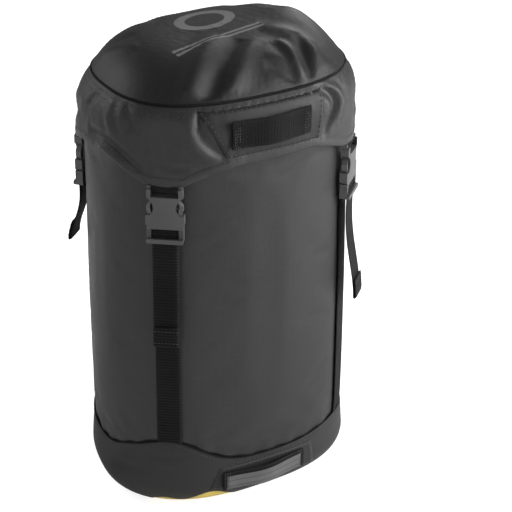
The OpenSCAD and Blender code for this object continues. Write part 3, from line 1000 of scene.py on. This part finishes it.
def crown_point(share, reach):
    """A place on the crown, at a reach of 1 at the rim and 0 at its middle."""
    rim = oval.at(share, -RIM_INSET)
    spot = Vector((rim.x, rim.y)) * reach
    boxiness = 3.6 + 2.4 * ease((rim.y / HALF_D + 0.8) / 0.8)
    high = (CROWN_TOP - RIM_Z - 1 * MM) * (1 - reach ** boxiness)
    # The seam holds the cloth at the rim
    held = ease((1 - reach) / 0.07)
    high += held * 5 * MM * bell((spot - RIGHT_SWELL).length, 25 * MM)
    folds = sum(fold_depth(spot, each) for each in CROWN_FOLDS)
    soft = 0.8 * MM * noise.noise(spot.to_3d() * 22)
    return spot.to_3d() + RIM_LEAN + UP * (RIM_Z + 0.5 * MM + high + (folds + soft) * held)


def lid_crown():
    """The crown's cloth, from the rim in to its middle."""
    reaches = [math.cos(math.pi / 2 * part * 0.99) ** 0.8 for part in parts(46)]
    rows = [[crown_point(share, reach) for share in LID_SHARES] for reach in reaches]
    piece = seal(skin("lid_crown_fabric", rows, True, lambda r, c: rows[r][c % LID_COLUMNS].xy))
    pins = [max(bell(v.co.z - RIM_Z, 3 * MM), LOOSE_PIN) for v in piece.data.vertices]
    settle(piece, pins, 1.0, 0.01, 2.2 * MM)
    return piece


place(thicken(lid_crown(), FABRIC_T, -1), looks["crown"], "lid", ("lid_crown",))

rim_line = [point + RIM_LEAN for point in around_seam(lambda s: RIM_Z, lambda s: 0.3 * MM - RIM_INSET)]
rim_cord = cord("lid_rim_piping", rim_line, 0.85 * MM, 0.2)
place(rim_cord, looks["piping"], "lid", ("lid_piping",))

lid_rows = [
    skirt_line(lambda s: 2.6 * MM / skirt_height(s)),
    skirt_line(lambda s: 5.6 * MM / skirt_height(s)),
    skirt_line(lambda s: 1 - 4.8 * MM / skirt_height(s), 0.34 * MM),
]
place(stitches("lid_seam_stitches", lid_rows), looks["thread"], "lid")


# ---------- Grab handles ----------

def drape(tree, x, z, lift):
    """The place on the front of a surface at a given x and z, and the way out there."""
    start = Vector((x, -HALF_D, z))
    hit = tree.ray_cast(Vector((x, -HALF_D - 40 * MM, z)), Vector((0, 1, 0)), 80 * MM)[0]
    point = hit if hit else start
    share = oval.share_near(point.x, point.y) if abs(x) > 20 * MM else FRONT
    out = oval.normal(oval.at(share))
    return point + out * lift, out


def patch_cloth(name, tree, corners):
    """A flat patch on a front surface. corners are (x, z) from the bottom left, anticlockwise."""
    bottom_left, bottom_right, top_right, top_left = [Vector(corner) for corner in corners]
    rows = []
    for v in parts(16):
        row = []
        for u in parts(40):
            spot = bottom_left.lerp(bottom_right, u).lerp(top_left.lerp(top_right, u), v)
            border = min(u, 1 - u, v * 0.5, (1 - v) * 0.5)
            rise = 0.5 * MM * (0.15 + 0.85 * ease(border * 30))
            row.append(drape(tree, spot.x, spot.y, rise)[0])
        rows.append(row)
    return thicken(skin(name, rows, False, even(2 * MM, 2 * MM)), 0.6 * MM, -1)


def patch_border(tree, corners):
    """Four lines of stitching just inside a patch's border."""
    inset = 3.3 * MM
    middle = sum((Vector(corner) for corner in corners), Vector((0, 0))) / 4
    points = [Vector(corner) + (middle - Vector(corner)).normalized() * inset for corner in corners]
    lines = []
    for a, b in zip(points, points[1:] + points[:1]):
        spots = [a.lerp(b, part) for part in parts(16)]
        lines.append([drape(tree, spot.x, spot.y, 0.62 * MM) for spot in spots])
    return lines


class GrabHandle:
    """A handle of webbing across the front, on a patch, bowed out between its sewn ends."""

    def __init__(self, node, tree, body_name, corners, bow, lift):
        self.tree = tree
        self.bodies = (body_name, node)
        low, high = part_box(node)
        self.width = high.z - low.z
        self.half = (high.x - low.x) / 2
        self.z = (high.z + low.z) / 2
        patch = patch_cloth(node + "_patch_panel", tree, corners)
        place(patch, looks["patch"], body_name, (node + "_patch",))
        border = stitches(node.replace("_handle", "_patch") + "_stitches", patch_border(tree, corners))
        place(border, looks["thread"], body_name)
        self.line = self.path(bow, lift)
        self.low_y = (self.line[0].y + self.line[-1].y) / 2
        self.high_y = self.line[len(self.line) // 2].y + 0.5 * MM
        piece = webbing(node + "_webbing", self.line, UP, self.width, 1.5 * MM, 0.05 * MM)
        place(piece, looks["handle"], nodes=(node,))
        self.blend(piece, self.low_y)
        self.bar_tacks(node + "_bar_tacks", lift + 0.85 * MM)

    def path(self, bow, lift):
        """The handle's line: flat where it is sewn at each end."""
        sewn = 6 * MM
        across = [self.half * (2 * part - 1) for part in parts(60)]
        spots = [drape(self.tree, x, self.z, lift) for x in across]
        points = [point for point, _ in spots]
        for _ in range(6):
            points[1:-1] = [(a + b * 2 + c) / 4 for a, b, c in zip(points, points[1:], points[2:])]
        line = []
        for x, point, (_, out) in zip(across, points, spots):
            part = min(1, max(0, (self.half - abs(x) - sewn) / (self.half - sewn)))
            line.append(point + out * (bow * math.sin(math.pi / 2 * part) ** 2))
        return line

    def blend(self, piece, low_y):
        """Bakes a piece's transform into its mesh."""
        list(self.bodies)
        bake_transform(piece)

    def bar_tacks(self, name, lift):
        """Dense stitching across each end."""
        lines = []
        for side in (-1, 1):
            for row in range(4):
                x = side * (self.half - (1.6 + 1.2 * row) * MM)
                heights = [self.z + self.width * (part - 0.5) * 0.9 for part in parts(10)]
                lines.append([drape(self.tree, x, z, lift) for z in heights])
        tacks = stitches(name, lines, 1.5 * MM, 0.5 * MM, 0.24 * MM)
        place(tacks, looks["pale_thread"], self.bodies[0])


# The corners of the patches under the handles, as (x, z)
LID_PATCH = [(-34 * MM, 285 * MM), (41 * MM, 284 * MM), (44 * MM, 317 * MM), (-50 * MM, 317 * MM)]
BASE_PATCH = [(-44 * MM, 17.5 * MM), (46 * MM, 12 * MM), (43 * MM, 33 * MM), (-36 * MM, 34 * MM)]
GrabHandle("lid_handle", skirt_tree, "lid", LID_PATCH, 3 * MM, 1.5 * MM)
base_handle = GrabHandle("base_handle", cup_tree, "bag", BASE_PATCH, 3.5 * MM, 1.4 * MM)


def handle_label(line, width):
    """Rows of points for the label sewn along a handle, with its ends turned under."""
    count = 60
    tall = width - 4.5 * MM
    drop = 1.4 * MM
    rows = []
    for v in (part - 0.5 for part in parts(12)):
        row = []
        for i in range(count + 1):
            k = (0.04 + 0.92 * i / count) * (len(line) - 1)
            j = min(int(k), len(line) - 2)
            out = (line[j + 1] - line[j]).normalized().cross(UP)
            border = ease(min(i, count - i, (0.5 - abs(v)) * 40) / 2.5)
            point = line[j].lerp(line[j + 1], k - j)
            row.append(point + UP * (v * tall - drop) + out * (0.75 * MM + 0.35 * MM * border))
        rows.append(row)
    return rows


label_rows = handle_label(base_handle.line, base_handle.width)
label = skin("base_handle_label_panel", label_rows, False, even(1 * MM, 1 * MM))
place(thicken(label, 0.3 * MM, -1), looks["label"], nodes=("base_handle_label",))
toward = Vector((0, -1, 0))
label_seams = [[(p + toward * (0.15 * MM), toward) for p in label_rows[r][2:-2]] for r in (1, 11)]
label_thread = stitches("base_label_stitches", label_seams, 1.6 * MM, 0.9 * MM, 0.2 * MM)
place(label_thread, looks["pale_thread"])
label_low_y = min(base_handle.line[0].y, base_handle.line[-1].y)
for piece in (label, label_thread):
    base_handle.blend(piece, label_low_y)


# ---------- Straps ----------

def strap_run(strap):
    """From the base seam up the sack, behind the ladder lock, over its bar and down to the tail."""
    bar_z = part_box("strap_wrap_" + strap.name)[1].z - BEND_R - 0.5 * MM
    bar_out = strap.hinge_out - BEND_R
    low = seam_z(strap.share)
    high = strap.hinge.z - 6 * MM
    points = []
    for z in (low + (high - low) * part for part in parts(44)):
        spots = [strap.at(0, z, side * WEB_W) for side in (-0.45, 0, 0.45)]
        found = [(find_surface(body_tree, spot, strap.out) - spot).dot(strap.out) for spot in spots]
        points.append(strap.at(max(0, *found) + 0.8 * MM, z))
    points.append(strap.at(bar_out - BEND_R, strap.hinge.z + 1 * MM))
    for turn in half_turn(12):
        points.append(strap.at(bar_out - BEND_R * math.cos(turn), bar_z + BEND_R * math.sin(turn)))
    points.append(strap.at(strap.hinge_out, strap.hinge.z + 0.4 * MM))
    piece = webbing("strap_webbing_" + strap.name, points, strap.right)
    place(piece, looks["web"], nodes=("strap_" + strap.name, "strap_wrap_" + strap.name))
    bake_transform(piece)


# How much further out than its top each tail's end stands, and the length of the end that is folded back
TAIL_SWAY = {"front_left": 1.5 * MM, "front_right": 8 * MM, "back_left": 9 * MM, "back_right": 4 * MM}
FOLD = 14 * MM


def strap_tail(strap):
    """The free tail, curving away from the sack, with its end folded back and sewn."""
    node = "strap_tail_" + strap.name
    length = strap.hinge.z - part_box(node)[0].z - 1 * MM
    sway = TAIL_SWAY[strap.name]
    fold_r = 0.8 * MM

    def hang(part, lift=0.0, right=0.0):
        out = strap.hinge_out + sway * ease(part) ** 1.5 - 0.4 * MM * math.sin(math.pi * part)
        return strap.at(out + lift, strap.hinge.z - length * part, right)

    points = [hang(part) for part in parts(40)]
    for turn in half_turn(8)[1:-1]:
        points.append(hang(1, fold_r * (1 - math.cos(turn))) - UP * (fold_r * math.sin(turn)))
    points += [hang(1 - FOLD / length * part, 2 * fold_r) for part in parts(8)]
    piece = webbing("strap_tail_webbing_" + strap.name, points, strap.right)
    place(piece, looks["web"], node, (node,))
    lines = []
    for up in (2.5 * MM, FOLD - 2.5 * MM):
        spots = [hang(1 - up / length, 2 * fold_r + 0.6 * MM, WEB_W * (t - 0.5) * 0.86) for t in parts(8)]
        lines.append([(spot, strap.out) for spot in spots])
    tack = stitches("strap_tail_stitches_" + strap.name, lines, 1.6 * MM, 0.7 * MM, 0.24 * MM)
    place(tack, looks["pale_thread"], node)


def lid_loop(strap):
    """Webbing from inside the tab, down round the receiver's top bar and back up."""
    low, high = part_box("lid_loop_" + strap.name)
    bar_out = 3.8 * MM
    bar_z = low.z + BAR_INSET
    tall = high.z - bar_z
    points = [strap.at(bar_out - BEND_R * (0.9 + 0.1 * part), high.z - tall * part) for part in parts(6)]
    for turn in half_turn(12)[1:]:
        points.append(strap.at(bar_out - BEND_R * math.cos(turn), bar_z - BEND_R * math.sin(turn)))
    for part in parts(6)[1:]:
        points.append(strap.at(bar_out + BEND_R * (1 - 1.6 * ease(3 * part)), bar_z + tall * part))
    piece = webbing("lid_loop_webbing_" + strap.name, points, strap.right)
    place(piece, looks["web"], "lid", ("lid_loop_" + strap.name,))


for strap in straps:
    strap_run(strap)
    strap_tail(strap)
    lid_loop(strap)


# ---------- Moulded pieces, which keep their CAD shape ----------

def dress(node, look, edge):
    """Gives a CAD node its material and, where it has hard edges, a small round on them."""
    piece = frame["nodes"][node]
    piece.data.materials.clear()
    piece.data.materials.append(look)
    bevel = piece.modifiers.new("edge round", "BEVEL")
    bevel.width = edge
    bevel.segments = 2
    bevel.limit_method = "ANGLE"
    bevel.angle_limit = math.radians(35)
    bevel.use_clamp_overlap = True


halves = [half + name for name in STRAPS for half in ("buckle_female_", "buckle_male_")]
arms = [arm + name for name in STRAPS for arm in ("arm_right_", "arm_left_")]
for node in halves + ["closure_female", "closure_male"]:
    dress(node, looks["plastic"], 0.28 * MM)
for node in arms + ["closure_arm_upper", "closure_arm_lower"]:
    dress(node, looks["inner_plastic"], 0.2 * MM)
for node in ("roll_stiffener_inner", "roll_stiffener_outer"):
    dress(node, looks["stiff"], 0.15 * MM)


# ---------- Rolled neck ----------

ROLL_R = (ROLL_HIGH.x - ROLL_LOW.x) / 2 - 6 * MM
ROLL_MID_Z = (ROLL_HIGH.z + ROLL_LOW.z) / 2
ROLL_GAP = math.radians(64)


def bulge(value, power):
    """A sine or cosine with its curve squared off."""
    return math.copysign(abs(value) ** power, value)


def roll_fabric():
    """The neck rolled over into a ring with a gap at the front, its layers showing at the ends."""
    turns = 3
    half_t = 5.6 * MM
    half_h = (ROLL_HIGH.z - ROLL_LOW.z) / 2 - 0.6 * MM
    rows = []
    for angle in (ROLL_GAP / 2 - math.pi / 2 + (2 * math.pi - ROLL_GAP) * part for part in parts(96)):
        way = Vector((math.cos(angle), math.sin(angle), 0))
        sag = 0.5 * MM * noise.noise(way * 3.3)
        row = []
        for part in parts(84):
            turn = 2 * math.pi * turns * part
            size = 0.42 + 0.58 * part
            out = half_t * size * bulge(math.cos(turn), 0.8)
            high = half_h * (size ** 0.6) * bulge(math.sin(turn), 0.7)
            row.append(way * (ROLL_R + out + sag) + UP * (ROLL_MID_Z + high))
        rows.append(row)
    return skin("roll_top_fabric", rows, False, lambda r, c: (r * 2.8 * MM, c * 1.2 * MM))


place(thicken(roll_fabric(), 0.5 * MM, 0), looks["roll"], "closure", ("roll_top",))


def closure_tab(node, side):
    """Webbing looped round a bar of the closure buckle and sewn to an end of the roll."""
    low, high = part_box(node)
    bar_y = low.y + BAR_INSET
    bar_x = low.x + BAR_INSET if side > 0 else high.x - BAR_INSET
    far = high.x + 6 * MM if side > 0 else low.x - 6 * MM
    points = [Vector((far, bar_y + BEND_R * 0.6, ROLL_MID_Z))]
    for turn in half_turn(12):
        spot = (bar_x - side * BEND_R * math.sin(turn), bar_y + BEND_R * math.cos(turn), ROLL_MID_Z)
        points.append(Vector(spot))
    points.append(Vector((far, bar_y - BEND_R * 0.6, ROLL_MID_Z)))
    place(webbing(node + "_webbing", points, UP), looks["web"], "closure", (node,))


closure_tab("closure_tab_left", -1)
closure_tab("closure_tab_right", 1)


# ---------- Studio ----------

def floor():
    """A white floor that looks a little brighter to the camera than the light on it makes it."""
    size = 3.0
    corners = [(-size, -size, 0), (size, -size, 0), (size, size, 0), (-size, size, 0)]
    piece = new_object("studio_floor", corners, [(0, 1, 2, 3)])
    g = material_graph("studio floor")
    matt = g.add("BsdfDiffuse", {"Color": (0.9, 0.9, 0.9, 1)}).outputs[0]
    glow = g.add("Emission", {"Strength": 0.8}).outputs[0]
    both = g.add("AddShader", {0: matt, 1: glow}).outputs[0]
    seen = g.add("LightPath").outputs["Is Camera Ray"]
    g.add("OutputMaterial", {0: g.add("MixShader", {0: seen, 1: matt, 2: both}).outputs[0]})
    piece.data.materials.append(g.owner)


def softbox(name, position, target, width, height, power):
    light = bpy.data.lights.new(name, "AREA")
    light.shape = "RECTANGLE"
    light.size, light.size_y = width, height
    light.energy = power
    lamp = bpy.data.objects.new(name, light)
    lamp.location = position
    lamp.rotation_euler = (Vector(target) - Vector(position)).to_track_quat("-Z", "Y").to_euler()
    bpy.context.scene.collection.objects.link(lamp)


def studio_world():
    """White to the camera, and a dimmer even light to everything else."""
    world = bpy.data.worlds.new("studio")
    g = Graph(world)
    white = (1, 1, 1, 1)
    seen = g.add("Background", {"Color": white}).outputs[0]
    lit = g.add("Background", {"Color": white, "Strength": 0.16}).outputs[0]
    to_camera = g.add("LightPath").outputs["Is Camera Ray"]
    g.add("OutputWorld", {0: g.add("MixShader", {0: to_camera, 1: lit, 2: seen}).outputs[0]})
    bpy.context.scene.world = world


def camera(azimuth, elevation, distance, target, lens, shift_x, shift_y):
    a, e = math.radians(azimuth), math.radians(elevation)
    back = Vector((math.sin(a) * math.cos(e), -math.cos(a) * math.cos(e), math.sin(e)))
    data = bpy.data.cameras.new("camera")
    data.lens = lens
    data.sensor_width = 36
    data.shift_x, data.shift_y = shift_x, shift_y
    data.clip_start = 0.01
    piece = bpy.data.objects.new("camera", data)
    piece.location = Vector(target) + back * distance
    piece.rotation_euler = back.to_track_quat("Z", "Y").to_euler()
    bpy.context.scene.collection.objects.link(piece)
    bpy.context.scene.camera = piece


floor()
studio_world()
middle = (0, 0, HALF_W * 1.85)
softbox("key from the right", (1.3, -0.9, 0.75), middle, 0.9, 1.3, 36)
softbox("fill from the left", (-1.4, -0.9, 0.7), middle, 0.9, 1.2, 5)
softbox("rim from behind", (-0.9, 1.2, 0.9), middle, 0.8, 0.8, 6)
softbox("sheen on the crown", (1.2, 1.0, 1.0), (0, 0, RIM_Z), 0.5, 0.5, 5)
camera(azimuth=-29, elevation=28, distance=1.2, target=middle, lens=114.7, shift_x=0.0787, shift_y=-0.004)
bpy.context.scene.view_settings.view_transform = "Standard"
